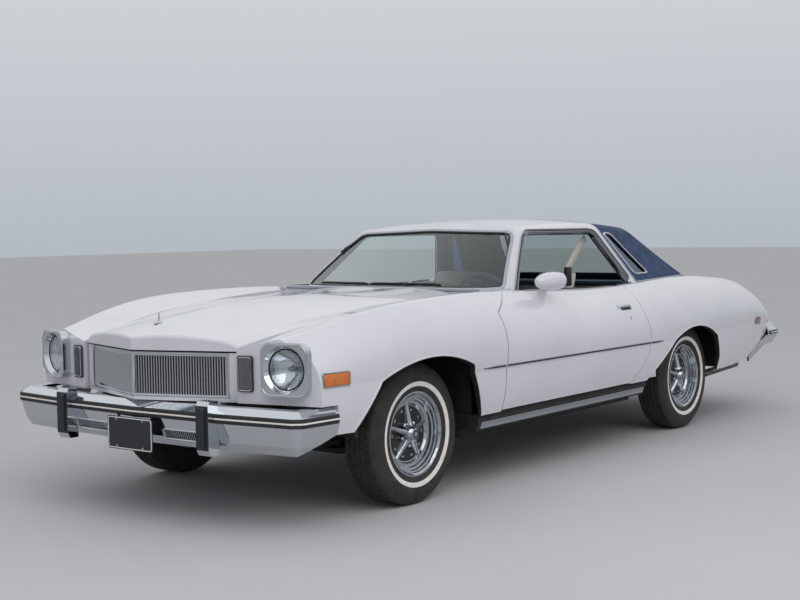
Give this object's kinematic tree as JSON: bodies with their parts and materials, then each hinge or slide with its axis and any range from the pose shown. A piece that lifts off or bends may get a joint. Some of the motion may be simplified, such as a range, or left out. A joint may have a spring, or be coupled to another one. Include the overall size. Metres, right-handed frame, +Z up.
{
  "type": "muscle car",
  "caption": "Full-size two-door notchback coupe with a long hood, half vinyl roof, chrome bumpers and spoked wheels; doors, hood, trunk lid and steering move.",
  "frame": {"origin": "on the ground below the centre of the bounding box", "axes": "+X to the front of the car, +Y to its left, +Z up"},
  "size_m": [5.321, 2.0114, 1.3621],
  "materials": {
    "white_paint": "gloss",
    "blue_vinyl": "grained",
    "chrome_trim": "polished",
    "wheel_chrome": "polished",
    "black_rubber": "satin",
    "tyre_rubber": "matte",
    "lamp_glass": "fluted",
    "red_lens": "gloss",
    "tinted_glass": "clear",
    "plate_paint": "satin",
    "dark_paint": "matte",
    "frame_steel": "satin",
    "engine_iron": "painted",
    "gearbox_alloy": "cast",
    "exhaust_steel": "dull",
    "grey_plastic": "matte",
    "white_vinyl": "satin"
  },
  "bodies": {
    "body": {"front_fenders": "white_paint", "nose_panel": "white_paint", "quarter_panels": "white_paint", "tail_panel": "white_paint", "cowl_panel": "white_paint", "rear_shelf": "white_paint", "roof_front": "white_paint", "vinyl_roof_rear": "blue_vinyl", "grille": "chrome_trim", "headlamp_bezels": "chrome_trim", "front_bumper": "chrome_trim", "rear_bumper": "chrome_trim", "bumper_guards": "black_rubber", "headlamps": "lamp_glass", "number_plate": "plate_paint", "parking_lamps": "lamp_glass", "tail_lamps": "red_lens", "windscreen": "tinted_glass", "backlight": "tinted_glass", "opera_windows": "tinted_glass", "floor_pan": "dark_paint", "wheelhouses": "dark_paint", "frame": "frame_steel", "engine": "engine_iron", "gearbox": "gearbox_alloy", "front_suspension": "frame_steel", "rear_axle": "frame_steel", "propshaft": "frame_steel", "exhaust": "exhaust_steel", "fuel_tank": "exhaust_steel", "sills": "dark_paint", "dashboard": "grey_plastic", "steering_wheel": "grey_plastic", "front_seats": "white_vinyl", "rear_seat": "white_vinyl"},
    "hood": {"hood": "white_paint"},
    "trunk_lid": {"trunk_lid": "white_paint"},
    "door_left": {"door_left": "white_paint", "door_mirror": "white_paint"},
    "door_right": {"door_right": "white_paint"},
    "steer_left": {"knuckle_left": "frame_steel"},
    "steer_right": {"knuckle_right": "frame_steel"},
    "wheel_front_left": {"wheel_front_left": "wheel_chrome", "tyre_front_left": "tyre_rubber"},
    "wheel_front_right": {"wheel_front_right": "wheel_chrome", "tyre_front_right": "tyre_rubber"},
    "wheel_rear_left": {"wheel_rear_left": "wheel_chrome", "tyre_rear_left": "tyre_rubber"},
    "wheel_rear_right": {"wheel_rear_right": "wheel_chrome", "tyre_rear_right": "tyre_rubber"}
  },
  "joints": [
    {"name": "hood_hinge", "type": "hinge", "parent": "body", "child": "hood", "pos_m": [0.848, 0, 0.99], "axis": [0, -1, 0], "range_deg": [0, 50]},
    {"name": "trunk_hinge", "type": "hinge", "parent": "body", "child": "trunk_lid", "pos_m": [-1.598, 0, 0.97], "axis": [0, 1, 0], "range_deg": [0, 70]},
    {"name": "door_left_hinge", "type": "hinge", "parent": "body", "child": "door_left", "pos_m": [1.044, 1.004, 0.65], "axis": [0, 0, -1], "range_deg": [0, 65]},
    {"name": "door_right_hinge", "type": "hinge", "parent": "body", "child": "door_right", "pos_m": [1.044, -1.004, 0.65], "axis": [0, 0, 1], "range_deg": [0, 65]},
    {"name": "steer_left", "type": "hinge", "parent": "body", "child": "steer_left", "pos_m": [1.64, 0.65, 0.338], "axis": [0, 0, 1], "range_deg": [-30, 30]},
    {"name": "steer_right", "type": "hinge", "parent": "body", "child": "steer_right", "pos_m": [1.64, -0.65, 0.338], "axis": [0, 0, 1], "range_deg": [-30, 30]},
    {"name": "spin_front_left", "type": "hinge", "parent": "steer_left", "child": "wheel_front_left", "pos_m": [1.64, 0.781, 0.338], "axis": [0, 1, 0], "continuous": true},
    {"name": "spin_front_right", "type": "hinge", "parent": "steer_right", "child": "wheel_front_right", "pos_m": [1.64, -0.781, 0.338], "axis": [0, 1, 0], "continuous": true},
    {"name": "spin_rear_left", "type": "hinge", "parent": "body", "child": "wheel_rear_left", "pos_m": [-1.205, 0.771, 0.338], "axis": [0, 1, 0], "continuous": true},
    {"name": "spin_rear_right", "type": "hinge", "parent": "body", "child": "wheel_rear_right", "pos_m": [-1.205, -0.771, 0.338], "axis": [0, 1, 0], "continuous": true}
  ],
  "couplings": [
    {"joint": "steer_right", "follows": "steer_left", "ratio": 1}
  ]
}
